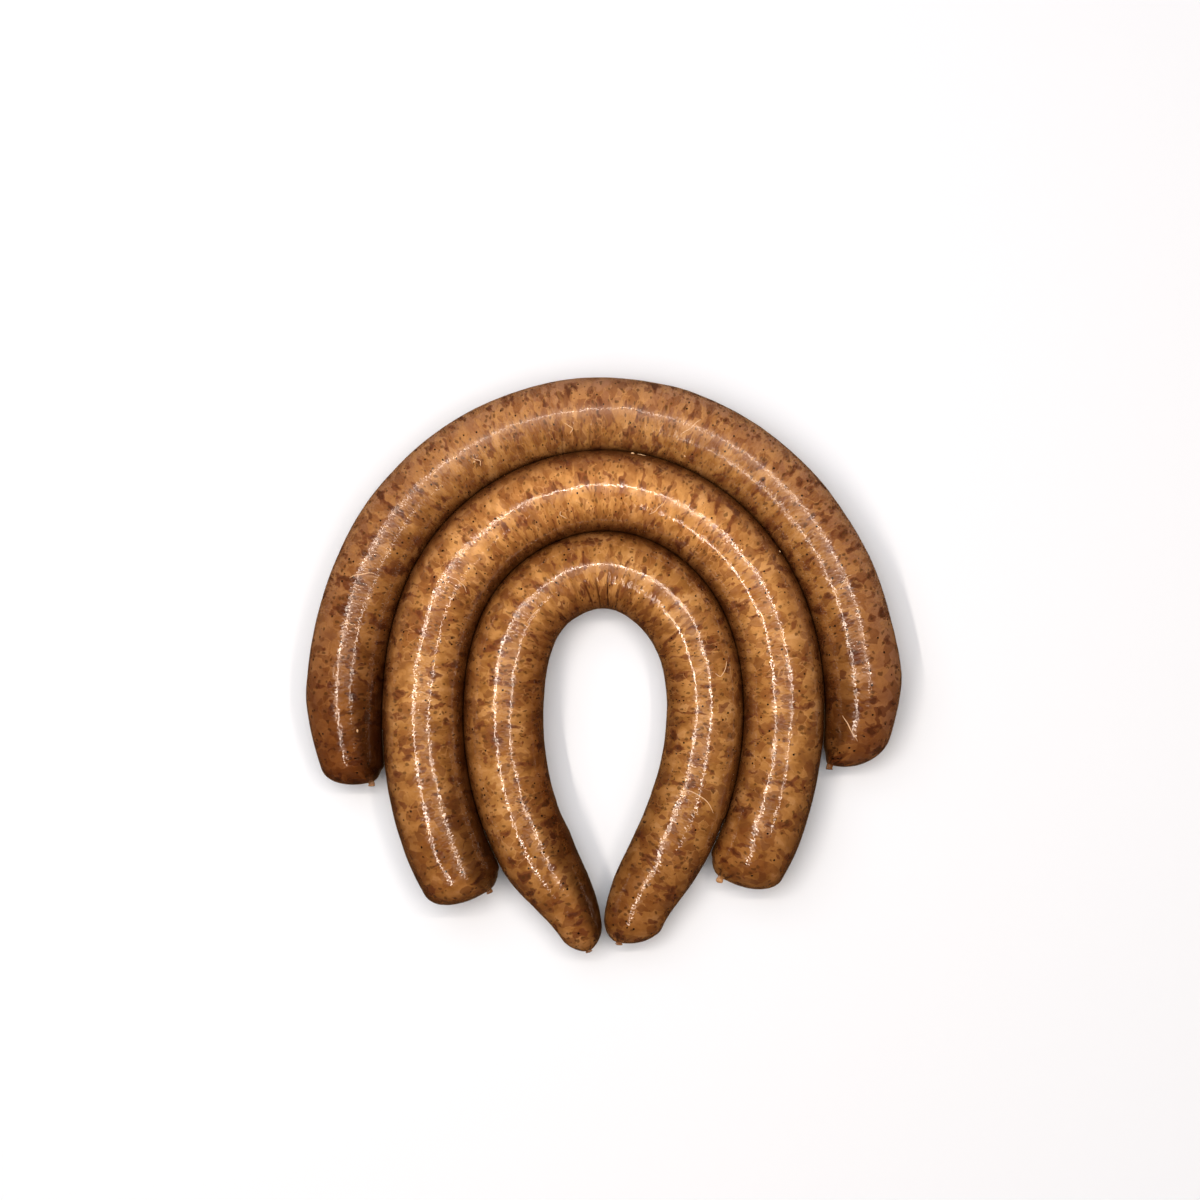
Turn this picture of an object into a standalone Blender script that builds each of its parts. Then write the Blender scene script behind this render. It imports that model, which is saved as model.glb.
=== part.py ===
"""Smoked sausage links, nested in one another as they lie on a flat surface.

Each link is a horseshoe. The crowns point to +Y, the ends to -Y, and every link hugs the one inside
it. A link is one closed solid: a filled casing of round section that follows its run, slims towards
both ends and closes in a small gathered tail. The shapes are worked out in millimetres, with the
links standing on z = 0, and turned to metres when the meshes are written.
"""
import math
from dataclasses import dataclass

import bmesh
import bpy
import numpy as np

METRES_PER_MM = 0.001

# The innermost link's middle line, from its left end over the crown to its right end.
INNER_RUN = ((-4.9, -88.5), (-11.1, -73.5), (-18.2, -62.5), (-29, -36), (-31, -9.5), (-22, 18.5), (1.5, 29),
             (22.5, 16), (30.5, -10.5), (27, -38), (17.4, -60.5), (10.1, -74), (6.9, -87))
CROWN_STATION = 140.0       # where along that line the crown lies
LEG_STATION = 60.0          # distance from the crown at which a link has its full leg thickness
GAP = 0.35                  # clearance between neighbouring casings

SIDES = 16                  # flats round a link, one of them underneath
RING_PITCH = 4.5            # spacing of the sections along a link
DOME_RINGS = 5              # sections that round off an end
FINE_STEPS = 1200           # resolution of the curves behind the sections

TAIL_NECK = 1.1             # radius where the casing is twisted shut
TAIL_FLARE = 1.6            # radius of the cut casing past the twist
SLIMMING_EASE = 1.4         # how softly an end begins to slim

SWELL = 0.012               # unevenness of the filling, as a share of the radius
SWELL_LENGTH = 74.0         # length of one swell


@dataclass
class End:
    """How a link closes. Lengths in millimetres, shares in parts of the radius."""
    station: float          # where the end comes to along the innermost link's line
    slimming: float         # share that either side comes in before the end rounds off
    lowering: float         # share that its top comes down
    lift: float             # share that its underside comes up
    reach: float            # length over which all that happens
    dome: float             # length of the rounded end itself
    tail: float             # length of the twisted casing that stands out of it
    lean: float             # how far it leans inwards
    hug: float              # how much of the rounding is taken from its outer side alone


@dataclass
class Link:
    """One sausage link. Radii in millimetres."""
    name: str
    left_radius: float
    crown_radius: float
    right_radius: float
    phase: float            # where along the link its swells fall, in turns
    left: End
    right: End
    colour: tuple           # linear red, green and blue


LINKS = (
    Link("link_inner", 12.1, 11.8, 11.8, 0.15,
         End(0.0, slimming=0.60, lowering=0.66, lift=0.34, reach=36.0, dome=6.0, tail=0.6, lean=0.0, hug=0.0),
         End(277.0, slimming=0.30, lowering=0.67, lift=0.05, reach=34.0, dome=7.0,
             tail=0.8, lean=0.0, hug=0.4),
         (0.36, 0.16, 0.05)),
    Link("link_middle", 12.4, 12.2, 12.1, 0.60,
         End(31.4, slimming=0.04, lowering=0.10, lift=0.0, reach=22.0, dome=8.5, tail=0.8, lean=0.9, hug=0.5),
         End(245.0, slimming=0.08, lowering=0.42, lift=0.0, reach=20.0, dome=8.5,
             tail=1.6, lean=0.9, hug=0.5),
         (0.36, 0.16, 0.05)),
    Link("link_outer", 11.7, 11.0, 12.0, 0.35,
         End(63.4, slimming=0.27, lowering=0.55, lift=0.05, reach=30.0, dome=7.5,
             tail=0.8, lean=3.4, hug=0.5),
         End(211.0, slimming=0.34, lowering=0.60, lift=0.05, reach=30.0, dome=12.0,
             tail=0.6, lean=4.0, hug=0.75),
         (0.30, 0.12, 0.045)),
)


def smooth(t):
    """Ease from 0 to 1 without a kink at either end."""
    t = np.clip(t, 0.0, 1.0)
    return t * t * (3.0 - 2.0 * t)


def cubic_through(knots, values, at):
    """Natural cubic spline through the values at the knots, read at the given places."""
    knots = np.asarray(knots, float)
    values = np.asarray(values, float)
    span = np.diff(knots)
    slope = np.diff(values) / span
    count = len(knots)
    system = np.eye(count)
    right_side = np.zeros(count)
    for i in range(1, count - 1):
        system[i, i - 1:i + 2] = span[i - 1], 2.0 * (span[i - 1] + span[i]), span[i]
        right_side[i] = 6.0 * (slope[i] - slope[i - 1])
    bend = np.linalg.solve(system, right_side)
    i = np.clip(np.searchsorted(knots, at, side="right") - 1, 0, count - 2)
    after = at - knots[i]
    before = knots[i + 1] - at
    return ((bend[i] * before ** 3 + bend[i + 1] * after ** 3) / (6.0 * span[i])
            + (values[i] / span[i] - bend[i] * span[i] / 6.0) * before
            + (values[i + 1] / span[i] - bend[i + 1] * span[i] / 6.0) * after)


def lengths_along(points):
    """Distance along a line of points, from its first point."""
    steps = np.linalg.norm(np.diff(points, axis=0), axis=1)
    return np.concatenate(([0.0], np.cumsum(steps)))


def outward_normals(points):
    """Unit normals of a flat line, on its left as it runs, which is the outside of the horseshoe."""
    run = np.gradient(points, axis=0)
    run /= np.linalg.norm(run, axis=1)[:, None]
    return np.stack((-run[:, 1], run[:, 0]), axis=1)


def innermost_line():
    """Stations, points and outward normals of the innermost link's middle line."""
    route = np.array(INNER_RUN, float)
    knots = lengths_along(route)
    at = np.linspace(0.0, knots[-1], FINE_STEPS)
    points = np.stack([cubic_through(knots, route[:, axis], at) for axis in (0, 1)], axis=1)
    return lengths_along(points), points, outward_normals(points)


def body_radius(link, station):
    """A link's radius away from its ends: slimmer over the crown, with slow swells."""
    side = np.where(station < CROWN_STATION, link.left_radius, link.right_radius)
    share = smooth(np.abs(station - CROWN_STATION) / LEG_STATION)
    swell = 1.0 + SWELL * np.sin(2.0 * math.pi * (station / SWELL_LENGTH + link.phase))
    return (link.crown_radius + (side - link.crown_radius) * share) * swell


def nearness(end, distance):
    """How near the end a section is: 1 at the end, easing to 0 at its reach."""
    return np.clip(1.0 - distance / end.reach, 0.0, 1.0) ** SLIMMING_EASE


def closing(end, radius, lost, distance):
    """Half width of a section at a distance from the tip of the tail.

    From the body's radius; lost is the share that the end loses before it rounds off.
    """
    past_tail = distance - end.tail
    slimmed = radius * (1.0 - lost * nearness(end, past_tail))
    rounding = np.sqrt(np.clip(1.0 - (1.0 - np.clip(past_tail / end.dome, 0.0, 1.0)) ** 2, 0.0, 1.0))
    flare = TAIL_FLARE + (TAIL_NECK - TAIL_FLARE) * smooth(distance / end.tail)
    return np.maximum(slimmed * rounding, flare)


def section_places(link, length):
    """Where the sections lie: close together in the tails and domes, evenly along the body."""
    def near_end(end):
        turn = np.linspace(0.0, math.pi / 2.0, DOME_RINGS + 1)
        return np.concatenate(([0.0], end.tail + end.dome * (1.0 - np.cos(turn))))
    first = near_end(link.left)
    last = length - near_end(link.right)[::-1]
    count = max(2, round((last[0] - first[-1]) / RING_PITCH))
    body = np.linspace(first[-1], last[0], count + 1)
    return np.concatenate((first, body[1:-1], last))


def distance_out(link, inside, stations):
    """How far a link's middle line runs outside the innermost one; inside are the links it hugs."""
    if not inside:
        return np.zeros_like(stations)
    widths = sum(2.0 * body_radius(other, stations) + GAP for other in inside)
    return widths - body_radius(inside[0], stations) + body_radius(link, stations)


def link_sections(link, inside):
    """Centres, outward normals, half widths and half heights of a link's sections."""
    stations, points, normals = innermost_line()
    line = points + normals * distance_out(link, inside, stations)[:, None]
    kept = (stations >= link.left.station) & (stations <= link.right.station)
    line = line[kept]
    stations = stations[kept]
    along = lengths_along(line)
    at = section_places(link, along[-1])
    radius = body_radius(link, np.interp(at, along, stations))
    slimming = lowering = lift = lean = 0.0
    half_width = half_height = np.inf
    for end, distance in ((link.left, at), (link.right, along[-1] - at)):
        near = nearness(end, distance - end.tail)
        slimming = slimming + end.slimming * near
        lowering = lowering + end.lowering * near
        lift = lift + end.lift * near
        lean = lean + end.lean * near
        half_width = np.minimum(half_width, closing(end, radius, end.slimming, distance))
        half_height = np.minimum(half_height, closing(end, radius, (end.lowering + end.lift) / 2.0, distance))
    centres = np.stack([np.interp(at, along, line[:, axis]) for axis in (0, 1)], axis=1)
    centres = centres - outward_normals(centres) * lean[:, None]
    facing = outward_normals(centres)
    hug = np.where(at < along[-1] / 2.0, link.left.hug, link.right.hug)
    rounded_off = radius * (1.0 - slimming) - half_width
    centres = centres - facing * (hug * rounded_off)[:, None]
    height = radius * (1.0 - (lowering - lift) / 2.0)
    return np.column_stack((centres, height)), facing, half_width, half_height


def link_mesh(link, inside):
    """The link's closed skin: a ring of flats round each section and a cap on each tail."""
    mesh = bmesh.new()
    corner_reach = 1.0 / math.cos(math.pi / SIDES)
    rings = []
    for centre, outward, half_width, half_height in zip(*link_sections(link, inside)):
        ring = []
        for side in range(SIDES):
            turn = 2.0 * math.pi * (side + 0.5) / SIDES
            sideways = half_width * corner_reach * math.cos(turn)
            upwards = half_height * corner_reach * math.sin(turn)
            place = (centre[0] + outward[0] * sideways, centre[1] + outward[1] * sideways,
                     centre[2] + upwards)
            ring.append(mesh.verts.new([value * METRES_PER_MM for value in place]))
        rings.append(ring)
    for ring, following in zip(rings, rings[1:]):
        for side in range(SIDES):
            after = (side + 1) % SIDES
            mesh.faces.new((ring[side], ring[after], following[after], following[side]))
    mesh.faces.new(rings[0])
    mesh.faces.new(rings[-1])
    bmesh.ops.recalc_face_normals(mesh, faces=mesh.faces)
    return mesh


def casing_material(link):
    """Smoked casing: brown, slightly glossy."""
    material = bpy.data.materials.new("smoked_casing_" + link.name)
    material.use_nodes = True
    shader = material.node_tree.nodes["Principled BSDF"]
    shader.inputs["Base Color"].default_value = (*link.colour, 1.0)
    shader.inputs["Roughness"].default_value = 0.3
    shader.inputs["Metallic"].default_value = 0.0
    return material


def add_link(link, inside):
    """Make the link's object at its place."""
    mesh = link_mesh(link, inside)
    data = bpy.data.meshes.new(link.name)
    mesh.to_mesh(data)
    mesh.free()
    data.materials.append(casing_material(link))
    data.shade_smooth()
    data.set_sharp_from_angle(angle=math.radians(40.0))
    piece = bpy.data.objects.new(link.name, data)
    bpy.context.scene.collection.objects.link(piece)
    return piece


def centre_on_origin(pieces):
    """Move the pieces so that the middle of their shared footprint is the origin."""
    corners = np.array([vertex.co for piece in pieces for vertex in piece.data.vertices])
    middle = (corners.min(axis=0) + corners.max(axis=0)) / 2.0
    for piece in pieces:
        for vertex in piece.data.vertices:
            vertex.co.x -= middle[0]
            vertex.co.y -= middle[1]


def build():
    for old in list(bpy.data.objects):
        bpy.data.objects.remove(old, do_unlink=True)
    pieces = [add_link(link, LINKS[:place]) for place, link in enumerate(LINKS)]
    centre_on_origin(pieces)


build()
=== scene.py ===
import math
from dataclasses import dataclass

import bpy
import numpy as np
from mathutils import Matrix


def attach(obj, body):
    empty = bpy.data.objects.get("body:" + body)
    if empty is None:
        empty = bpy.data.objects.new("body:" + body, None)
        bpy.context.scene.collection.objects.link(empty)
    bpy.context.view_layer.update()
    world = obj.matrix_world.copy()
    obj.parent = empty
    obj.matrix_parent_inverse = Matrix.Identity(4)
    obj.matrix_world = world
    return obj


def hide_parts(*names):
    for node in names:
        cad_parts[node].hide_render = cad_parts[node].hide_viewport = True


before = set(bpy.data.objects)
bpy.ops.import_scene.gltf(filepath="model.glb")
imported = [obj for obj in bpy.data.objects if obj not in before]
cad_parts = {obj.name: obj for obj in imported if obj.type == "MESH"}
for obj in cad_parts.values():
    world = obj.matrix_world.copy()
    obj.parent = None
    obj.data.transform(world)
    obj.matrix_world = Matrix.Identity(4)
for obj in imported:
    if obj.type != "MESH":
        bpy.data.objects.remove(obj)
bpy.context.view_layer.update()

# Smoked sausage links in natural casing, nested in one another on a pale table.
# Shapes are worked out in millimetres and turned to metres when a mesh is written.

METRES_PER_MM = 0.001

# ---------------------------------------------------------------- the links' run, as in the solids

INNER_RUN = ((-4.9, -88.5), (-11.1, -73.5), (-18.2, -62.5), (-29, -36), (-31, -9.5), (-22, 18.5), (1.5, 29),
             (22.5, 16), (30.5, -10.5), (27, -38), (17.4, -60.5), (10.1, -74), (6.9, -87))
CROWN_STATION = 140.0       # where along that line the crown lies
LEG_STATION = 60.0          # distance from the crown at which a link has its full leg thickness
GAP = 0.35                  # clearance between neighbouring casings
FINE_STEPS = 1200           # resolution of the curves behind the rings
TAIL_NECK = 1.1             # radius where the casing is twisted shut
TAIL_FLARE = 1.6            # radius of the cut casing past the twist
SLIMMING_EASE = 1.4         # how softly an end begins to slim
SWELL = 0.012               # unevenness of the filling, as a share of the radius
SWELL_LENGTH = 74.0         # length of one swell

# ---------------------------------------------------------------- the fine skin

SETTLED = 0.25              # how far a link sinks into its own flattened underside
INSET = 0.10                # how far the skin lies inside the solid's, to leave room for its relief
MOST_PRESSED = 1.1          # widest clearance that neighbours still close between them
OVERLAP = 0.03              # how far they press into each other where they touch
CREASE_DEPTH = 0.32         # of the deepest fold across the bend
SQUEEZED_SHARE = 0.26       # share of a link's length over which its bend squeezes the stuffing
SQUEEZE = 0.35              # how much closer that packs the stuffing along the link
STUFFING_APART = 100.0      # keeps the links' patterns apart, times their seeds
TAIL_TAN_REACH = 0.8        # length over which the tan of the cut casing fades in
END_SHADE = 55.0            # length over which a link darkens towards its ends
SIDES = 144                 # points round a link
CROWN_PITCH = 0.36          # ring spacing where the casing creases
LEG_PITCH = 0.62            # ring spacing elsewhere
DOME_RINGS = 30
TAIL_RINGS = 8
THREAD_SIDES = 8
THREAD_STEPS = 24
THREAD_RADIUS = 0.15
CRUMB_STEPS = 9


@dataclass
class End:
    """How a link closes. Lengths in millimetres, shares in parts of the radius."""
    station: float
    slimming: float
    lowering: float
    lift: float
    reach: float
    dome: float
    tail: float
    lean: float
    hug: float
    pleat: float = 0.25     # depth of the gathers round the tail
    pleats: int = 11
    tan: float = 0.2        # how pale the cut casing past the twist dried


@dataclass
class Link:
    """One sausage link. Lengths in millimetres, turns in degrees: 0 outwards, 90 up, 180 inwards."""
    name: str
    left_radius: float
    crown_radius: float
    right_radius: float
    phase: float
    left: End
    right: End
    creases: tuple          # folds across the inside of the bend: distance past the crown, strength
    wrinkled: tuple         # crinkled patches: share of the length, half length, turn, half its spread
    threads: tuple          # loose threads: share of the length, turn and drift at either end, bow
    crumbs: tuple           # crumbs of fat: share of the length, turn, radius, length
    paleness_and_sheen: float         # how much paler the top of the bend is painted: the stretched casing, and a painted sheen
    smoke: tuple            # how much redder and dustier its outer side is smoked, with a painted sheen and a painted pale rim light: left end, crown, right end
    shade: tuple            # how much painted shade darkens its inner side and the side of its ends facing the other link, at the same three places
    dark: tuple             # how much darker the whole link is painted, at the same three places
    hug_shade: float           # how much painted shade darkens its outer side where the next link hugs it
    spice: float            # how strongly the ground spice shows
    oil: float              # how much oil covers it
    dull: float             # how much rougher its crown dried
    seed: int


LINKS = (
    Link("link_inner", 12.1, 11.8, 11.8, 0.15,
         End(0.0, slimming=0.60, lowering=0.66, lift=0.34, reach=36.0, dome=6.0, tail=0.6, lean=0.0,
             hug=0.0, pleat=0.2),
         End(277.0, slimming=0.30, lowering=0.67, lift=0.05, reach=34.0, dome=7.0, tail=0.8, lean=0.0,
             hug=0.4, pleat=0.45, pleats=9),
         creases=((-7.6, 0.9), (-3.1, 0.8), (0.9, 1.0), (5.4, 0.7)),
         wrinkled=((0.40, 9.0, 92, 26), (0.56, 10.0, 95, 24), (0.81, 5.0, 92, 22), (0.95, 8.0, 92, 45)),
         threads=((0.395, 98, 0.0, 104, 5.0, 3), (0.672, 48, -1.0, 72, 2.0, 2),
                  (0.82, 50, 1.0, 112, -2.5, -2)),
         crumbs=(),
         paleness_and_sheen=0.3, smoke=(0.0, 0.0, 0.0), shade=(1.0, 0.7, 0.1),
         dark=(0.0, 0.0, 0.3), hug_shade=0.4, spice=0.8, oil=0.5, dull=0.0, seed=3),
    Link("link_middle", 12.4, 12.2, 12.1, 0.60,
         End(31.4, slimming=0.04, lowering=0.10, lift=0.0, reach=22.0, dome=8.5, tail=0.8, lean=0.9,
             hug=0.5),
         End(245.0, slimming=0.08, lowering=0.42, lift=0.0, reach=20.0, dome=8.5, tail=1.6, lean=0.9,
             hug=0.5, tan=1.0),
         creases=((-19.0, 0.35), (-8.5, 0.3), (2.4, 0.35), (9.5, 0.3), (17.0, 0.3)),
         wrinkled=((0.33, 10.0, 88, 26), (0.43, 6.0, 80, 12), (0.60, 20.0, 82, 16), (0.555, 3.0, 104, 14)),
         threads=((0.21, 72, 0.0, 96, 1.5, 1), (0.33, 90, 0.0, 118, -1.5, 1), (0.46, 112, 0.0, 126, 1.5, -1),
                  (0.56, 92, 1.5, 116, -1.0, 0.6)),
         crumbs=((0.529, 14, 0.36, 0.5), (0.536, 13, 0.13, 2.0), (0.674, 13, 0.24, 0.3)),
         paleness_and_sheen=0.8, smoke=(0.0, 0.12, 0.0), shade=(0.7, 0.4, 0.0),
         dark=(0.0, 0.0, 0.0), hug_shade=0.25, spice=0.8, oil=0.5, dull=0.0, seed=17),
    Link("link_outer", 11.7, 11.0, 12.0, 0.35,
         End(63.4, slimming=0.27, lowering=0.55, lift=0.05, reach=30.0, dome=7.5, tail=0.8, lean=3.4,
             hug=0.5, tan=0.6),
         End(211.0, slimming=0.34, lowering=0.60, lift=0.05, reach=30.0, dome=12.0, tail=0.6, lean=4.0,
             hug=0.75),
         creases=((-15.5, 0.6), (-11.4, 0.5), (-6.2, 0.6), (4.2, 0.35), (21.0, 0.4)),
         wrinkled=((0.175, 13.0, 80, 24), (0.30, 10.0, 76, 14), (0.37, 2.0, 105, 12), (0.60, 8.0, 86, 18),
                   (0.70, 6.0, 94, 22)),
         threads=((0.16, 74, 0.0, 94, 1.0, 0.8), (0.21, 66, -1.5, 101, 2.5, 0.5),
                  (0.37, 102, 0.0, 121, 1.0, 1), (0.47, 103, -0.5, 122, 1.0, 1.5),
                  (0.592, 70, 2.5, 106, -1.5, 0.4), (0.70, 98, 0.0, 112, 0.5, 0.5),
                  (0.81, 72, -1.5, 98, 1.5, -0.6), (0.955, 90, 3.7, 125, -3.7, 0.3)),
         crumbs=((0.058, 112, 0.3, 0.7), (0.37, 108, 0.32, 0.5), (0.60, 138, 0.28, 0.4)),
         paleness_and_sheen=0.2, smoke=(0.15, 0.65, 0.5), shade=(0.85, 0.0, 0.65),
         dark=(0.95, 0.0, 0.65), hug_shade=0.0, spice=0.35, oil=0.32, dull=0.2, seed=41),
)


def smooth(t):
    """Ease from 0 to 1 without a kink at either end."""
    t = np.clip(t, 0.0, 1.0)
    return t * t * (3.0 - 2.0 * t)


def cubic_through(knots, values, at):
    """Natural cubic spline through the values at the knots, read at the given places."""
    knots = np.asarray(knots, float)
    values = np.asarray(values, float)
    span = np.diff(knots)
    slope = np.diff(values) / span
    count = len(knots)
    system = np.eye(count)
    right_side = np.zeros(count)
    for i in range(1, count - 1):
        system[i, i - 1:i + 2] = span[i - 1], 2.0 * (span[i - 1] + span[i]), span[i]
        right_side[i] = 6.0 * (slope[i] - slope[i - 1])
    bend = np.linalg.solve(system, right_side)
    i = np.clip(np.searchsorted(knots, at, side="right") - 1, 0, count - 2)
    after = at - knots[i]
    before = knots[i + 1] - at
    return ((bend[i] * before ** 3 + bend[i + 1] * after ** 3) / (6.0 * span[i])
            + (values[i] / span[i] - bend[i] * span[i] / 6.0) * before
            + (values[i + 1] / span[i] - bend[i + 1] * span[i] / 6.0) * after)


def lengths_along(points):
    """Distance along a line of points, from its first point."""
    steps = np.linalg.norm(np.diff(points, axis=0), axis=1)
    return np.concatenate(([0.0], np.cumsum(steps)))


def outward_normals(points):
    """Unit normals of a flat line, on the outside of the horseshoe."""
    run = np.gradient(points, axis=0)
    run /= np.linalg.norm(run, axis=1)[:, None]
    return np.stack((-run[:, 1], run[:, 0]), axis=1)


def innermost_line():
    """Stations, points and outward normals of the innermost link's middle line."""
    route = np.array(INNER_RUN, float)
    knots = lengths_along(route)
    at = np.linspace(0.0, knots[-1], FINE_STEPS)
    points = np.stack([cubic_through(knots, route[:, axis], at) for axis in (0, 1)], axis=1)
    return lengths_along(points), points, outward_normals(points)


def body_radius(link, station):
    """A link's radius away from its ends: slimmer over the crown, with slow swells."""
    side = np.where(station < CROWN_STATION, link.left_radius, link.right_radius)
    share = smooth(np.abs(station - CROWN_STATION) / LEG_STATION)
    swell = 1.0 + SWELL * np.sin(2.0 * math.pi * (station / SWELL_LENGTH + link.phase))
    return (link.crown_radius + (side - link.crown_radius) * share) * swell


def nearness(end, distance):
    """How near the end a section is: 1 at the end, easing to 0 at its reach."""
    return np.clip(1.0 - distance / end.reach, 0.0, 1.0) ** SLIMMING_EASE


def closing(end, radius, lost, distance):
    """Half width of a section at a distance from the tip of the tail.

    From the body's radius; lost is the share that the end loses before it rounds off. The cut casing
    past the twist, which the solids leave plain, is rounded off into a nub.
    """
    past_tail = distance - end.tail
    slimmed = radius * (1.0 - lost * nearness(end, past_tail))
    rounding = np.sqrt(np.clip(1.0 - (1.0 - np.clip(past_tail / end.dome, 0.0, 1.0)) ** 2, 0.0, 1.0))
    flare = TAIL_FLARE + (TAIL_NECK - TAIL_FLARE) * smooth(distance / end.tail)
    nub = np.sqrt(np.clip(1.0 - (1.0 - np.clip(distance / (0.8 * end.tail), 0.03, 1.0)) ** 2, 0.0, 1.0))
    return np.maximum(slimmed * rounding, flare * nub)


def distance_out(link, inside, stations):
    """How far a link's middle line runs outside the innermost one; inside are the links it hugs."""
    if not inside:
        return np.zeros_like(stations)
    widths = sum(2.0 * body_radius(other, stations) + GAP for other in inside)
    return widths - body_radius(inside[0], stations) + body_radius(link, stations)


def ring_places(link, length, crown):
    """Where the rings of the fine skin lie: closest in the tails, the domes and over the crown."""
    def near_end(end):
        tail = np.linspace(0.0, end.tail, TAIL_RINGS, endpoint=False)
        turn = np.linspace(0.0, math.pi / 2.0, DOME_RINGS)
        return np.concatenate((tail, end.tail + end.dome * (1.0 - np.cos(turn))))
    first = near_end(link.left)
    last = length - near_end(link.right)[::-1]
    places = [first[-1]]
    while places[-1] < last[0]:
        off_crown = abs(places[-1] - crown) / LEG_STATION
        places.append(places[-1] + CROWN_PITCH + (LEG_PITCH - CROWN_PITCH) * float(smooth(off_crown)))
    body = np.array(places)
    body = first[-1] + (body - first[-1]) * (last[0] - first[-1]) / (body[-1] - first[-1])
    return np.concatenate((first, body[1:-1], last))


class Skin:
    """Rings of a link: centres, outward directions and radii, with what the finish needs to know."""

    def __init__(self, link, inside):
        stations, points, normals = innermost_line()
        line = points + normals * distance_out(link, inside, stations)[:, None]
        kept = (stations >= link.left.station) & (stations <= link.right.station)
        line = line[kept]
        stations = stations[kept]
        along = lengths_along(line)
        self.length = along[-1]
        self.crown = float(np.interp(CROWN_STATION, stations, along))
        self.at = ring_places(link, self.length, self.crown)
        radius = body_radius(link, np.interp(self.at, along, stations))
        self.from_left = self.at - link.left.tail
        self.from_right = self.length - self.at - link.right.tail
        slimming = lowering = lift = lean = 0.0
        self.size = self.tall = np.inf
        for end, distance in ((link.left, self.at), (link.right, self.length - self.at)):
            near = nearness(end, distance - end.tail)
            slimming = slimming + end.slimming * near
            lowering = lowering + end.lowering * near
            lift = lift + end.lift * near
            lean = lean + end.lean * near
            self.size = np.minimum(self.size, closing(end, radius, end.slimming, distance))
            flattened = (end.lowering + end.lift) / 2.0
            self.tall = np.minimum(self.tall, closing(end, radius, flattened, distance))
        centres = np.stack([np.interp(self.at, along, line[:, axis]) for axis in (0, 1)], axis=1)
        unleaned = np.gradient(centres, axis=0)
        unleaned /= np.linalg.norm(unleaned, axis=1)[:, None]
        sideways = np.stack((-unleaned[:, 1], unleaned[:, 0]), axis=1)
        centres = centres - sideways * lean[:, None]
        self.facing = outward_normals(centres)
        hug = np.where(self.at < self.length / 2.0, link.left.hug, link.right.hug)
        rounded_off = radius * (1.0 - slimming) - self.size
        centres = centres - self.facing * (hug * rounded_off)[:, None]
        height = radius * (1.0 - (lowering - lift) / 2.0)
        self.centres = np.column_stack((centres, height))


def press_together(skins):
    """Let neighbours swell towards each other until their casings touch."""
    for skin in skins:
        skin.press = np.zeros((2, len(skin.at)))
        for other in skins:
            if other is skin:
                continue
            apart = other.centres[None, :, :2] - skin.centres[:, None, :2]
            far = np.linalg.norm(apart, axis=2)
            nearest = far.argmin(axis=1)
            rows = np.arange(len(skin.at))
            clear = far[rows, nearest] - skin.size - other.size[nearest]
            outwards = (apart[rows, nearest] * skin.facing).sum(axis=1) > 0.0
            swell = (np.clip(clear, 0.0, MOST_PRESSED) / 2.0 + OVERLAP) * smooth((MOST_PRESSED - clear) / 0.4)
            for side, here in enumerate((outwards, ~outwards)):
                skin.press[side] = np.maximum(skin.press[side], np.where(here, swell, 0.0))


def footprint_middle(skins):
    """Middle of the footprint of all the links, which the solids have at the origin."""
    edges = []
    for skin in skins:
        for side in (-1.0, 1.0):
            edges.append(skin.centres[:, :2] + side * skin.facing * skin.size[:, None])
    edges = np.concatenate(edges)
    return (edges.min(axis=0) + edges.max(axis=0)) / 2.0


# ---------------------------------------------------------------- relief of the skin


def ripples(points, wavelength, count, rng):
    """Smooth uneven relief between about -1 and 1: a sum of plane waves in random directions."""
    total = np.zeros(points.shape[:-1])
    for _ in range(count):
        direction = rng.normal(size=3)
        direction /= np.linalg.norm(direction)
        stretch = rng.uniform(0.7, 1.5)
        phase = rng.uniform(0.0, 2.0 * math.pi)
        total += np.cos(points @ (direction * 2.0 * math.pi / (wavelength * stretch)) + phase)
    return total / math.sqrt(count)


def crown_creases(link, skin, turn, rng):
    """Folds pressed across the inside of the bend. Returns their depth, 0 to 1, over the skin."""
    depth = np.zeros((len(skin.at), len(turn)))
    minor = [(place, rng.uniform(0.1, 0.3)) for place in rng.uniform(-26.0, 26.0, 9)]
    for middle, strength in link.creases + tuple(minor):
        slant = rng.normal(0.0, 0.7)
        wave = rng.uniform(0.0, 2.0 * math.pi)
        top = math.radians(rng.uniform(84.0, 100.0))
        foot = math.radians(rng.uniform(165.0, 200.0))
        width = rng.uniform(0.38, 0.62)
        path = skin.crown + middle + slant * (turn - math.pi / 2.0) + 0.35 * np.sin(3.0 * turn + wave)
        reach = smooth((turn - top) / 0.35) * smooth((foot - turn) / 0.5)
        across = (skin.at[:, None] - path[None, :]) / width
        depth = np.maximum(depth, strength * reach[None, :] * np.exp(-across ** 2))
    return depth


def crinkled_patches(link, skin, turn):
    """Where the casing is finely crinkled across the link, 0 to 1."""
    cover = np.zeros((len(skin.at), len(turn)))
    for share, half_length, middle, spread in link.wrinkled:
        along = (skin.at - share * skin.length) / half_length
        around = (turn - math.radians(middle)) / math.radians(spread)
        cover = np.maximum(cover, np.exp(-(along[:, None] ** 2 + around[None, :] ** 2) ** 2))
    return cover


def gathers(end, distance, turn, phase):
    """Pleats that the casing takes on towards its tie, -1 to 1, and how strongly they show."""
    share = np.clip(1.0 - distance / (end.dome * 1.1), 0.0, 1.0)
    swirl = 0.5 * share
    folds = np.cos(end.pleats * turn[None, :] + phase + 2.0 * swirl[:, None])
    folds = folds + 0.4 * np.cos((end.pleats + 4) * turn[None, :] - 2.1 * phase)
    return folds / 1.4, share[:, None] ** 1.3


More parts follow.
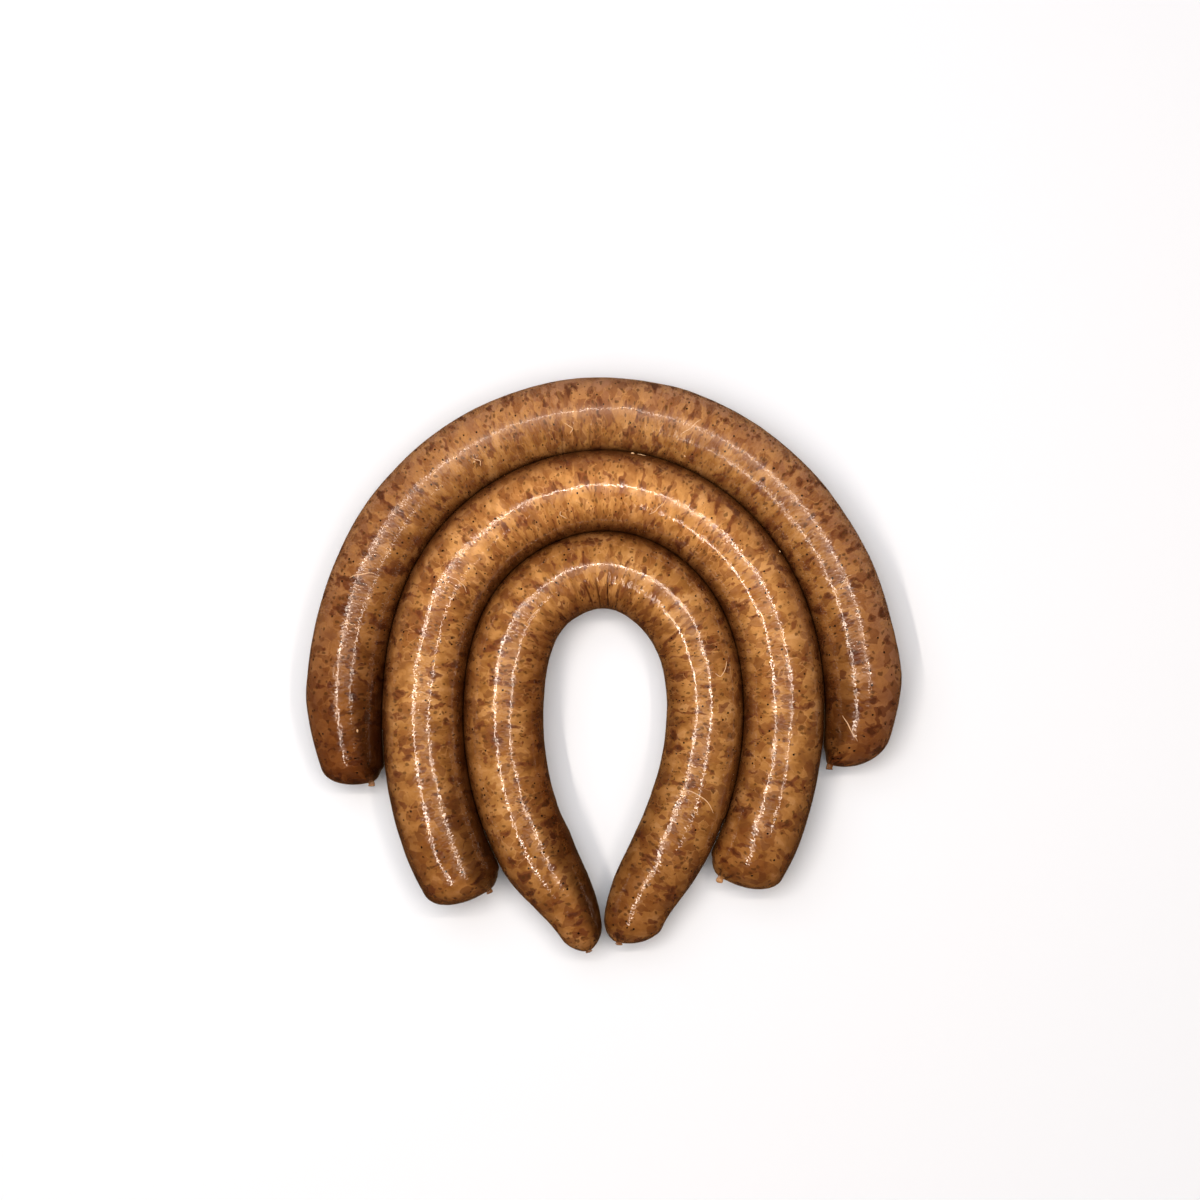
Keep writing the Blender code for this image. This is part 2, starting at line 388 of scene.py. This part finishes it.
def skin_points(link, skin):
    """The skin's points in millimetres, with the depth of its folds at each of them."""
    rng = np.random.default_rng(link.seed)
    turn = 2.0 * math.pi * np.arange(SIDES) / SIDES - math.pi / 2.0
    cosine = np.cos(turn)
    sine = np.sin(turn)
    straight = np.empty((len(skin.at), SIDES, 3))
    straight[..., 0] = skin.at[:, None]
    straight[..., 1] = skin.size[:, None] * cosine
    straight[..., 2] = skin.tall[:, None] * sine
    free = smooth((skin.size - TAIL_FLARE) / 6.0)[:, None]
    relief = (0.085 * ripples(straight, 17.0, 24, rng)
              + 0.028 * ripples(straight, 6.5, 30, rng)
              + 0.008 * ripples(straight, 2.6, 40, rng)) * free
    creases = crown_creases(link, skin, turn, rng)
    relief = relief - CREASE_DEPTH * creases
    fold = creases.copy()
    for end, distance, phase in ((link.left, skin.from_left, 0.7), (link.right, skin.from_right, 2.3)):
        folds, strength = gathers(end, np.maximum(distance, 0.0), turn, phase)
        room = np.minimum(end.pleat, 0.14 * skin.size)[:, None]
        relief = relief + room * strength * (folds - 1.0) * 0.5
        fold = np.maximum(fold, strength * np.clip(-folds, 0.0, 1.0))
    outer_side = np.exp(-(np.minimum(np.abs(turn), 2.0 * math.pi - np.abs(turn)) / 0.42) ** 2)
    inner_side = np.exp(-((turn - math.pi) / 0.42) ** 2)
    pressed = skin.press[0][:, None] * outer_side + skin.press[1][:, None] * inner_side
    inset = INSET * (1.0 - np.clip(outer_side + inner_side, 0.0, 1.0) * (pressed > 0.0))
    relief = relief * (1.0 - np.clip(pressed / 0.15, 0.0, 1.0) * np.maximum(outer_side, inner_side))
    reach = skin.size[:, None] + relief - inset + pressed
    points = np.empty_like(straight)
    points[..., 0] = skin.centres[:, None, 0] + skin.facing[:, None, 0] * reach * cosine
    points[..., 1] = skin.centres[:, None, 1] + skin.facing[:, None, 1] * reach * cosine
    upright = skin.tall[:, None] + relief - inset + pressed
    points[..., 2] = skin.centres[:, None, 2] - SETTLED + upright * sine
    points[..., 2] = np.maximum(points[..., 2], 0.0)
    return points, straight, fold, crinkled_patches(link, skin, turn)


def tube_faces(rings, sides):
    """Quads of a tube of rings, and its two end caps, facing out."""
    ring = np.arange(rings - 1)[:, None] * sides
    side = np.arange(sides)[None, :]
    after = (side + 1) % sides
    quads = np.stack((ring + side, ring + after, ring + sides + after, ring + sides + side), axis=-1)
    faces = quads.reshape(-1, 4).tolist()
    faces.append(list(range(sides))[::-1])
    faces.append(list(range((rings - 1) * sides, rings * sides)))
    return faces


def add_mesh(name, points, faces, material):
    """A smooth-shaded mesh object from points in millimetres."""
    data = bpy.data.meshes.new(name)
    data.from_pydata((points * METRES_PER_MM).tolist(), [], faces)
    data.validate()
    data.shade_smooth()
    data.materials.append(material)
    piece = bpy.data.objects.new(name, data)
    bpy.context.scene.collection.objects.link(piece)
    return piece


def store(piece, name, kind, values):
    """Keep a value for every point of a mesh under a name that its material reads."""
    attribute = piece.data.attributes.new(name, kind, "POINT")
    field = "vector" if kind == "FLOAT_VECTOR" else "value"
    attribute.data.foreach_set(field, np.asarray(values, np.float32).ravel())


def add_link(link, skin, middle, material):
    """One link: its skin, with the stuffing's own coordinates stored for the finish."""
    points, straight, fold, crinkled = skin_points(link, skin)
    points[..., :2] -= middle
    skin.points = points
    rings = len(skin.at)
    piece = add_mesh(link.name + "_skin", points.reshape(-1, 3), tube_faces(rings, SIDES), material)
    # The stuffing is squeezed along the run where the link bends, so its marks lie across it there.
    bend = np.exp(-((skin.at - skin.crown) / (SQUEEZED_SHARE * skin.length)) ** 2)
    squeezed = np.concatenate(([0.0], np.cumsum(np.diff(skin.at) * (1.0 + SQUEEZE * bend[1:]))))
    filling = straight.copy()
    filling[..., 0] = squeezed[:, None] + STUFFING_APART * link.seed
    store(piece, "filling", "FLOAT_VECTOR", filling)
    store(piece, "fold", "FLOAT", fold)
    store(piece, "crinkled", "FLOAT", crinkled)
    closeness = np.maximum(1.0 - skin.from_left / END_SHADE, 1.0 - skin.from_right / END_SHADE)
    store(piece, "end", "FLOAT", np.repeat(np.clip(closeness, 0.0, 1.0), SIDES))
    tail = np.maximum(link.left.tan * smooth(0.5 - skin.from_left / TAIL_TAN_REACH),
                      link.right.tan * smooth(0.5 - skin.from_right / TAIL_TAN_REACH))
    store(piece, "tail", "FLOAT", np.repeat(tail, SIDES))
    store(piece, "crown", "FLOAT", np.repeat(bend, SIDES))
    stages = (0.0, skin.crown, skin.length)
    store(piece, "smoke", "FLOAT", np.repeat(np.interp(skin.at, stages, link.smoke), SIDES))
    store(piece, "shade", "FLOAT", np.repeat(np.interp(skin.at, stages, link.shade), SIDES))
    store(piece, "dark", "FLOAT", np.repeat(np.interp(skin.at, stages, link.dark) ** 2, SIDES))
    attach(piece, "root")
    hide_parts(link.name)
    return piece


def on_skin(skin, along, turn):
    """The point of the skin at a distance along the link and a turn in degrees."""
    ring = np.interp(along, skin.at, np.arange(len(skin.at)))
    side = (math.radians(turn) + math.pi / 2.0) * SIDES / (2.0 * math.pi)
    low = int(min(ring, len(skin.at) - 2))
    left = int(side)
    corners = skin.points[low:low + 2, [left % SIDES, (left + 1) % SIDES]]
    over = ring - low
    past = side - left
    return ((corners[0, 0] * (1 - past) + corners[0, 1] * past) * (1 - over)
            + (corners[1, 0] * (1 - past) + corners[1, 1] * past) * over)


def add_tube(name, path, radii, material):
    """A round thread along a path of points, tapered as its radii say."""
    path = np.asarray(path)
    run = np.gradient(path, axis=0)
    run /= np.linalg.norm(run, axis=1)[:, None]
    side = np.cross(run, (0.31, 0.17, 0.93))
    side /= np.linalg.norm(side, axis=1)[:, None]
    up = np.cross(side, run)
    turn = 2.0 * math.pi * np.arange(THREAD_SIDES) / THREAD_SIDES
    rings = (path[:, None] + np.asarray(radii)[:, None, None]
             * (side[:, None] * np.cos(turn)[:, None] + up[:, None] * np.sin(turn)[:, None]))
    piece = add_mesh(name, rings.reshape(-1, 3), tube_faces(len(path), THREAD_SIDES), material)
    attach(piece, "root")
    return piece


def add_threads(link, skin, material):
    """Loose threads of casing stuck to the skin: raised ridges, whose cream colour is partly a painted glint.
    """
    for count, (share, turn, drift, last_turn, last_drift, bow) in enumerate(link.threads, 1):
        step = np.linspace(0.0, 1.0, THREAD_STEPS)
        kink = 0.16 * np.sin(2.0 * math.pi * (1.7 * step + share * 9.0))
        bowed = bow * np.sin(math.pi * step)
        along = share * skin.length + drift + (last_drift - drift) * step + bowed + kink
        turns = turn + (last_turn - turn) * step
        path = [on_skin(skin, place, angle) for place, angle in zip(along, turns)]
        radii = THREAD_RADIUS * np.maximum(np.sin(math.pi * (0.06 + 0.88 * step)) ** 0.6, 0.2)
        add_tube(f"{link.name}_thread_{count}", path, radii, material)


def add_crumbs(link, skin, material):
    """Crumbs of fat squeezed out between the links."""
    for count, (share, turn, radius, length) in enumerate(link.crumbs, 1):
        step = np.linspace(0.0, 1.0, CRUMB_STEPS)
        along = share * skin.length + (step - 0.5) * (length + radius)
        path = [on_skin(skin, place, turn) for place in along]
        radii = radius * np.maximum(np.sin(math.pi * (0.04 + 0.92 * step)) ** 0.5, 0.2)
        radii *= 1.0 + 0.12 * np.sin(11.0 * step + 40.0 * share)
        add_tube(f"{link.name}_crumb_{count}", path, radii, material)


# ---------------------------------------------------------------- finishes


def colour(code):
    """Linear colour from an sRGB hex code."""
    channels = [int(code[i:i + 2], 16) / 255.0 for i in (1, 3, 5)]
    linear = [c / 12.92 if c <= 0.04045 else ((c + 0.055) / 1.055) ** 2.4 for c in channels]
    return (*linear, 1.0)


def add_node(tree, kind, sockets=None, **settings):
    """Add a node with its settings, its values and its incoming links."""
    node = tree.nodes.new("ShaderNode" + kind)
    for name, value in settings.items():
        setattr(node, name, value)
    for name, value in (sockets or {}).items():
        if isinstance(value, bpy.types.NodeSocket):
            tree.links.new(value, node.inputs[name])
        else:
            node.inputs[name].default_value = value
    return node


def fill_ramp(ramp, stops):
    """Give a colour ramp its stops: places with hex codes, in order."""
    while len(ramp.color_ramp.elements) < len(stops):
        ramp.color_ramp.elements.new(1.0)
    for element, (position, code) in zip(ramp.color_ramp.elements, stops):
        element.position = position
        element.color = colour(code)


def new_material(name):
    """An empty material with a Principled shader on its output."""
    material = bpy.data.materials.new(name)
    material.use_nodes = True
    tree = material.node_tree
    tree.nodes.clear()
    shader = add_node(tree, "BsdfPrincipled")
    add_node(tree, "OutputMaterial", {"Surface": shader.outputs["BSDF"]})
    return material, tree, shader


class Paint:
    """A colour that is built up in layers, each laid over the last where its mask is 1."""

    def __init__(self, tree, first):
        self.tree = tree
        self.top = first

    def layer(self, mask, shade, blend="MIX"):
        mix = add_node(self.tree, "Mix", data_type="RGBA", blend_type=blend, clamp_factor=True)
        for socket, value in ((mix.inputs[0], mask), (mix.inputs[6], self.top), (mix.inputs[7], shade)):
            if isinstance(value, bpy.types.NodeSocket):
                self.tree.links.new(value, socket)
            else:
                socket.default_value = value
        self.top = mix.outputs[2]


def band(tree, value, low, high, bottom=0.0, top=1.0):
    """Mask that eases from bottom to top as the value goes from low to high."""
    return add_node(tree, "MapRange", {"Value": value, "From Min": low, "From Max": high,
                                       "To Min": bottom, "To Max": top},
                    interpolation_type="SMOOTHSTEP").outputs["Result"]


def product(tree, first, second):
    return add_node(tree, "Math", {0: first, 1: second}, operation="MULTIPLY").outputs[0]


def smoked_casing(link):
    """Natural casing over coarse smoked sausage meat: a thin glossy skin, stuffed, smoked and oiled.

    The eye sees golden fat and red-brown lean through the skin, darker herbs and ground pepper, and
    sharp, gritty lights on its crest.
    """
    material, tree, shader = new_material("smoked_casing_" + link.name)
    filling = add_node(tree, "Attribute", attribute_name="filling").outputs["Vector"]
    fold, end, tail, crown, smoke, shade, dark, crinkled = (
        add_node(tree, "Attribute", attribute_name=name).outputs["Fac"]
        for name in ("fold", "end", "tail", "crown", "smoke", "shade", "dark", "crinkled"))
    place = add_node(tree, "SeparateXYZ", {"Vector": filling})

    def stretched(source, along, across):
        """The stuffing's coordinates over feature sizes in millimetres, along and across the link."""
        return add_node(tree, "VectorMath", {0: source, 1: (1 / along, 1 / across, 1 / across)},
                        operation="MULTIPLY").outputs[0]

    def noise(source, detail=2.0, roughness=0.5):
        return add_node(tree, "TexNoise", {"Vector": source, "Scale": 1.0, "Detail": detail,
                                           "Roughness": roughness}).outputs["Fac"]

    # Ground meat has no straight edges, so its grain is stirred before it is cut into bits.
    stir = add_node(tree, "TexNoise", {"Vector": filling, "Scale": 1 / 3.0, "Detail": 2.5})
    centred = add_node(tree, "VectorMath", {0: stir.outputs["Color"], 1: (-0.5, -0.5, -0.5)}, operation="ADD")
    shift = add_node(tree, "VectorMath", {0: centred.outputs[0], "Scale": 2.6}, operation="SCALE")
    stirred = add_node(tree, "VectorMath", {0: filling, 1: shift.outputs[0]}, operation="ADD").outputs[0]

    # Fat: amber to gold in soft clouds with a few crisp edges.
    fat = add_node(tree, "ValToRGB", {"Fac": noise(stretched(stirred, 5.5, 7.5), 2.0, 0.5)})
    shades = ((0.34, "#8A592C"), (0.42, "#9B6831"), (0.475, "#A36F35"), (0.49, "#AC783C"),
              (0.56, "#B37F42"), (0.575, "#BB8749"), (0.64, "#C38E4F"), (0.655, "#CD9A5D"))
    fill_ramp(fat, shades)
    paint = Paint(tree, fat.outputs["Color"])

    # The outer side is smoked redder and dustier, partly as a painted sheen, and less so underneath.
    outer = product(tree, band(tree, place.outputs["Y"], -5.0, 6.0), smoke)
    above = band(tree, place.outputs["Z"], -4.0, 4.0, 0.25, 1.0)
    paint.layer(product(tree, outer, above), colour("#AE7853"))
    # Painted rim light: a paler band along the outer edge, weaker underneath.
    painted_rim_light = product(tree, band(tree, place.outputs["Y"], 3.0, 11.0), smoke)
    paint.layer(product(tree, painted_rim_light, above), colour("#C38D66"))

    # Bits of meat 2 to 4 mm across, each of one tone, with crisp outlines.
    bits = add_node(tree, "TexVoronoi", {"Vector": stretched(stirred, 2.8, 3.8), "Scale": 1.0})
    bit = add_node(tree, "SeparateColor", {"Color": bits.outputs["Color"]})
    tone = noise(stretched(filling, 6.0, 8.0))
    chance = add_node(tree, "Math", {0: bit.outputs[0], 1: tone}, operation="ADD").outputs[0]
    bit_shade = add_node(tree, "ValToRGB", {"Fac": bit.outputs[1]})
    fill_ramp(bit_shade, ((0.2, "#7C4924"), (0.5, "#8F572B"), (0.8, "#9C6430")))
    paint.layer(band(tree, chance, 1.11, 1.14, 0.0, 0.6), bit_shade.outputs["Color"])
    paint.layer(band(tree, chance, 0.78, 0.75, 0.0, 0.3), colour("#D39A55"))

    # Lean: red-brown bands 2 to 5 mm long that lie across the link, soft under the skin.
    lean = noise(stretched(stirred, 3.4, 6.0), 1.5)
    paint.layer(band(tree, lean, 0.60, 0.625, 0.0, 0.75), colour("#774124"))
    paint.layer(band(tree, lean, 0.67, 0.685, 0.0, 0.6), colour("#542B17"))

    # Threads of pale fat between the bits, in places.
    seams = add_node(tree, "TexVoronoi", {"Vector": stretched(stirred, 2.8, 3.8), "Scale": 1.0},
                     feature="DISTANCE_TO_EDGE")
    seam = band(tree, seams.outputs["Distance"], 0.015, 0.06, 0.45, 0.0)
    marbled = product(tree, band(tree, tone, 0.52, 0.62), band(tree, end, 0.2, 0.8, 1.0, 0.25))
    paint.layer(product(tree, seam, marbled), colour("#D9A262"))

    # Streaks where the stuffing was squeezed across the bend.
    streak = noise(stretched(stirred, 2.6, 9.0), 1.0)
    streaked = band(tree, crown, 0.1, 0.9, 0.0, 1.0)
    paint.layer(product(tree, band(tree, streak, 0.56, 0.61, 0.0, 0.27), streaked), colour("#8A5228"))
    paint.layer(product(tree, band(tree, streak, 0.43, 0.38, 0.0, 0.27), streaked), colour("#DBA05A"))

    # Olive-brown dots of gristle and herb under the skin, 1 to 1.5 mm across, in clusters.
    dots = add_node(tree, "TexVoronoi", {"Vector": stretched(stirred, 1.7, 2.2), "Scale": 1.0})
    dot_tone = add_node(tree, "SeparateColor", {"Color": dots.outputs["Color"]})
    dot = product(tree, band(tree, dots.outputs["Distance"], 0.24, 0.36, 0.72, 0.0),
                  band(tree, add_node(tree, "Math", {0: dot_tone.outputs[0], 1: tone},
                                      operation="ADD").outputs[0], 1.02, 1.05))
    paint.layer(dot, colour("#5F3D1C"))

    # Herbs: dark strokes 1 mm long that lie across the link, thickest on its inner side.
    herbs = add_node(tree, "TexVoronoi", {"Vector": stretched(stirred, 0.85, 2.3), "Scale": 1.0})
    herb_tone = add_node(tree, "SeparateColor", {"Color": herbs.outputs["Color"]})
    herb = product(tree, band(tree, herbs.outputs["Distance"], 0.16, 0.26, 1.0, 0.0),
                   band(tree, herb_tone.outputs[0], 0.70, 0.72))
    inner_side = band(tree, place.outputs["Y"], 8.0, -7.0, 0.4, 0.95)
    fewer = band(tree, end, 0.1, 0.7, 1.0, 0.3)
    paint.layer(product(tree, product(tree, herb, inner_side), fewer), colour("#412611"))

    # Ground spice: brown specks half a millimetre across.
    spice = add_node(tree, "TexVoronoi", {"Vector": filling, "Scale": 1 / 1.3})
    spice_tone = add_node(tree, "SeparateColor", {"Color": spice.outputs["Color"]})
    grain = product(tree, band(tree, spice.outputs["Distance"], 0.15, 0.21, link.spice, 0.0),
                    band(tree, spice_tone.outputs[0], 0.55, 0.58))
    clustered = band(tree, tone, 0.44, 0.56, 0.2, 1.0)
    paint.layer(product(tree, product(tree, grain, fewer), clustered), colour("#5C381C"))

    # Pepper: black specks a third of a millimetre across.
    pepper = add_node(tree, "TexVoronoi", {"Vector": filling, "Scale": 1 / 2.3})
    pepper_tone = add_node(tree, "SeparateColor", {"Color": pepper.outputs["Color"]})
    speck = product(tree, band(tree, pepper.outputs["Distance"], 0.14, 0.17, 1.0, 0.0),
                    band(tree, pepper_tone.outputs[0], 0.68, 0.70))
    paint.layer(speck, colour("#0E0603"))

    # A fine mottle of the meat's fibres over everything.
    mottle = noise(stretched(stirred, 1.2, 1.8), 1.0, 0.5)
    paint.layer(band(tree, mottle, 0.57, 0.60, 0.0, 0.13), colour("#B98A66"), "MULTIPLY")

    # The casing is painted paler over the top of the bend: partly the stretched casing letting more light
    # through, partly a painted sheen.
    on_top = product(tree, crown, band(tree, place.outputs["Z"], 6.0, 11.5))
    paint.layer(product(tree, on_top, link.paleness_and_sheen), (1.72, 1.78, 1.9, 1.0), "MULTIPLY")

    # Painted shade where links hug one another, in the grooves between them, where the ends face each other
    # and in the folds; the links also darken towards their ends.
    # Painted shade on the inner side.
    inner = band(tree, place.outputs["Y"], -3.0, -11.0)
    paint.layer(product(tree, inner, shade), colour("#A9825F"), "MULTIPLY")
    # Painted shade on the side of each end that faces the other link, where they touch.
    facing_end = product(tree, band(tree, place.outputs["Y"], -1.0, -5.5), end)
    paint.layer(product(tree, facing_end, shade), colour("#3C1E12"), "MULTIPLY")
    # Painted shade on the outer side where the next link hugs it.
    paint.layer(band(tree, place.outputs["Y"], 4.5, 11.0, 0.0, link.hug_shade), colour("#B08862"), "MULTIPLY")
    # Painted shade in the grooves between neighbouring links.
    if link is not LINKS[-1]:
        paint.layer(band(tree, place.outputs["Y"], 9.3, 11.9, 0.0, 0.7), colour("#7A4E36"), "MULTIPLY")
    if link is not LINKS[0]:
        paint.layer(band(tree, place.outputs["Y"], -9.0, -11.7, 0.0, 0.7), colour("#7A4E36"), "MULTIPLY")
    # Darker towards the ends.
    paint.layer(band(tree, end, 0.0, 1.0, 0.0, 0.5), colour("#B08862"), "MULTIPLY")
    # Painted shade in the folds and gathers.
    paint.layer(band(tree, fold, 0.1, 0.9, 0.0, 0.85), colour("#6E3D1E"), "MULTIPLY")
    # Darker over the whole link, as much as its place says.
    paint.layer(dark, colour("#B09078"), "MULTIPLY")

    # The skin itself takes a little of the warmth away, and its cut ends dry to a tan.
    paint.layer(1.0, colour("#E8E9F0"), "MULTIPLY")
    paint.layer(tail, colour("#B98C5C"))

    tree.links.new(paint.top, shader.inputs["Base Color"])

    # The film of oil draws thin bright lines; the skin under it is duller in strokes across the link,
    # which feather the lines. Heights are in millimetres.
    dimples = noise(stretched(filling, 0.6, 1.2), 0.0)
    ridges = noise(stretched(filling, 0.7, 2.6), 1.5)
    strokes = noise(stretched(filling, 0.7, 1.8), 0.0)

    def bumped(*parts):
        """A normal raised by the sum of some patterns, each times its height."""
        height = 0.0
        for pattern, tallness in parts:
            height = add_node(tree, "Math", {0: pattern, 1: tallness, 2: height},
                              operation="MULTIPLY_ADD").outputs[0]
        return add_node(tree, "Bump", {"Height": height, "Strength": 1.0,
                                       "Distance": METRES_PER_MM}).outputs["Normal"]

    folded = band(tree, crinkled, 0.0, 1.0, 0.02, 0.10)
    pitted = band(tree, crown, 0.2, 0.9, 0.08, 0.035)
    uneven = bumped((dimples, pitted), (ridges, folded))
    tree.links.new(uneven, shader.inputs["Normal"])
    tree.links.new(uneven, shader.inputs["Coat Normal"])
    gloss = add_node(tree, "Math", {0: band(tree, strokes, 0.47, 0.53, 0.08, 0.24),
                                    1: product(tree, crown, link.dull)}, operation="ADD").outputs[0]
    tree.links.new(gloss, shader.inputs["Roughness"])

    shader.inputs["IOR"].default_value = 1.5
    shader.inputs["Specular IOR Level"].default_value = 0.55
    shader.inputs["Coat Weight"].default_value = link.oil
    shader.inputs["Coat Roughness"].default_value = 0.06
    shader.inputs["Coat IOR"].default_value = 1.5
    return material


def pale_shred(name, code, roughness):
    """Shreds that cling to a link: dried casing or a crumb of fat, cream and slightly greasy. On the threads
    of casing the cream is partly a painted glint.
    """
    material, tree, shader = new_material(name)
    cloud = add_node(tree, "TexNoise", {"Scale": 900.0, "Detail": 2.0}).outputs["Fac"]
    shade = add_node(tree, "ValToRGB", {"Fac": cloud})
    fill_ramp(shade, ((0.3, code), (0.7, "#F1D3AC")))
    tree.links.new(shade.outputs["Color"], shader.inputs["Base Color"])
    shader.inputs["Roughness"].default_value = roughness
    return material


def pale_table():
    """White laminate table top: smooth, matt and plain."""
    material, tree, shader = new_material("white_laminate")
    speckle = add_node(tree, "TexNoise", {"Scale": 3.0, "Detail": 2.0}).outputs["Fac"]
    tint = add_node(tree, "ValToRGB", {"Fac": speckle})
    tint.color_ramp.elements[0].color = colour("#E6F2FF")
    tint.color_ramp.elements[1].color = colour("#EAF5FF")
    tree.links.new(tint.outputs["Color"], shader.inputs["Base Color"])
    shader.inputs["Roughness"].default_value = 0.6
    shader.inputs["Specular IOR Level"].default_value = 0.3
    return material


# ---------------------------------------------------------------- the studio


def add_table():
    size = 3.0
    corners = np.array([(-size, -size, 0.0), (size, -size, 0.0), (size, size, 0.0), (-size, size, 0.0)])
    table = add_mesh("table", corners / METRES_PER_MM, [[0, 1, 2, 3]], pale_table())
    table.visible_glossy = False


def add_strip(name, place, aim, length, width, watts, tint="#FFEAD8"):
    """A strip softbox: length runs along Y, or along X where it is the wider side."""
    data = bpy.data.lights.new(name, "AREA")
    data.shape = "RECTANGLE"
    data.size = width
    data.size_y = length
    data.energy = watts
    data.color = colour(tint)[:3]
    lamp = bpy.data.objects.new(name, data)
    lamp.location = place
    lamp.rotation_euler = aim
    lamp.visible_camera = False
    bpy.context.scene.collection.objects.link(lamp)
    return lamp


def light_studio():
    """Strip softboxes to the left, right and back, a soft box between them, a fill, a bounce and a dim warm
    world.
    """
    height = 1.15
    add_strip("left_strip", (-0.50, -0.25, height), (0.0, -0.41, 0.20), 1.22, 0.05, 6.4)
    add_strip("right_strip", (0.42, 0.025, height), (0.0, 0.35, 0.0), 0.65, 0.035, 2.4)
    add_strip("top_box", (-0.09, 0.14, 1.2), (0.0, 0.0, 0.0), 0.38, 0.92, 0.9, "#FFF0E4")
    add_strip("back_strip", (-0.05, 0.33, height), (-0.28, 0.0, 0.0), 0.035, 1.0, 4.2)
    fill = add_strip("fill", (-0.42, 0.42, 1.22), (-0.33, -0.33, 0.0), 1.4, 1.4, 10.3, "#FAFAFC")
    bounce = add_strip("bounce", (0.45, -0.40, 1.22), (0.30, 0.33, 0.0), 1.2, 1.2, 3.0, "#FAFAFC")
    for lamp in (fill, bounce):
        lamp.visible_glossy = False
    world = bpy.data.worlds.new("pale_room")
    world.use_nodes = True
    background = world.node_tree.nodes["Background"]
    background.inputs["Color"].default_value = colour("#D8A06E")
    background.inputs["Strength"].default_value = 0.10
    bpy.context.scene.world = world


def add_camera():
    """Straight above the plate's place, taking in 368 mm at the links' middle height."""
    height = 1.0
    seen_width = 0.3682
    links_middle = 0.012
    data = bpy.data.cameras.new("overhead")
    data.sensor_width = 36.0
    data.lens = data.sensor_width * (height - links_middle) / seen_width
    camera = bpy.data.objects.new("overhead", data)
    camera.location = (-0.0011, 0.0201, height)
    bpy.context.scene.collection.objects.link(camera)
    bpy.context.scene.camera = camera


def main():
    skins = [Skin(link, LINKS[:place]) for place, link in enumerate(LINKS)]
    press_together(skins)
    middle = footprint_middle(skins)
    # The threads' cream is partly a painted glint.
    dried_casing_and_glint = pale_shred("dried_casing_and_glint", "#DDB083", 0.35)
    fat_crumb = pale_shred("fat_crumb", "#C99A66", 0.5)
    for link, skin in zip(LINKS, skins):
        add_link(link, skin, middle, smoked_casing(link))
        add_threads(link, skin, dried_casing_and_glint)
        add_crumbs(link, skin, fat_crumb)
    add_table()
    light_studio()
    add_camera()
    bpy.context.scene.view_settings.view_transform = "Standard"


main()
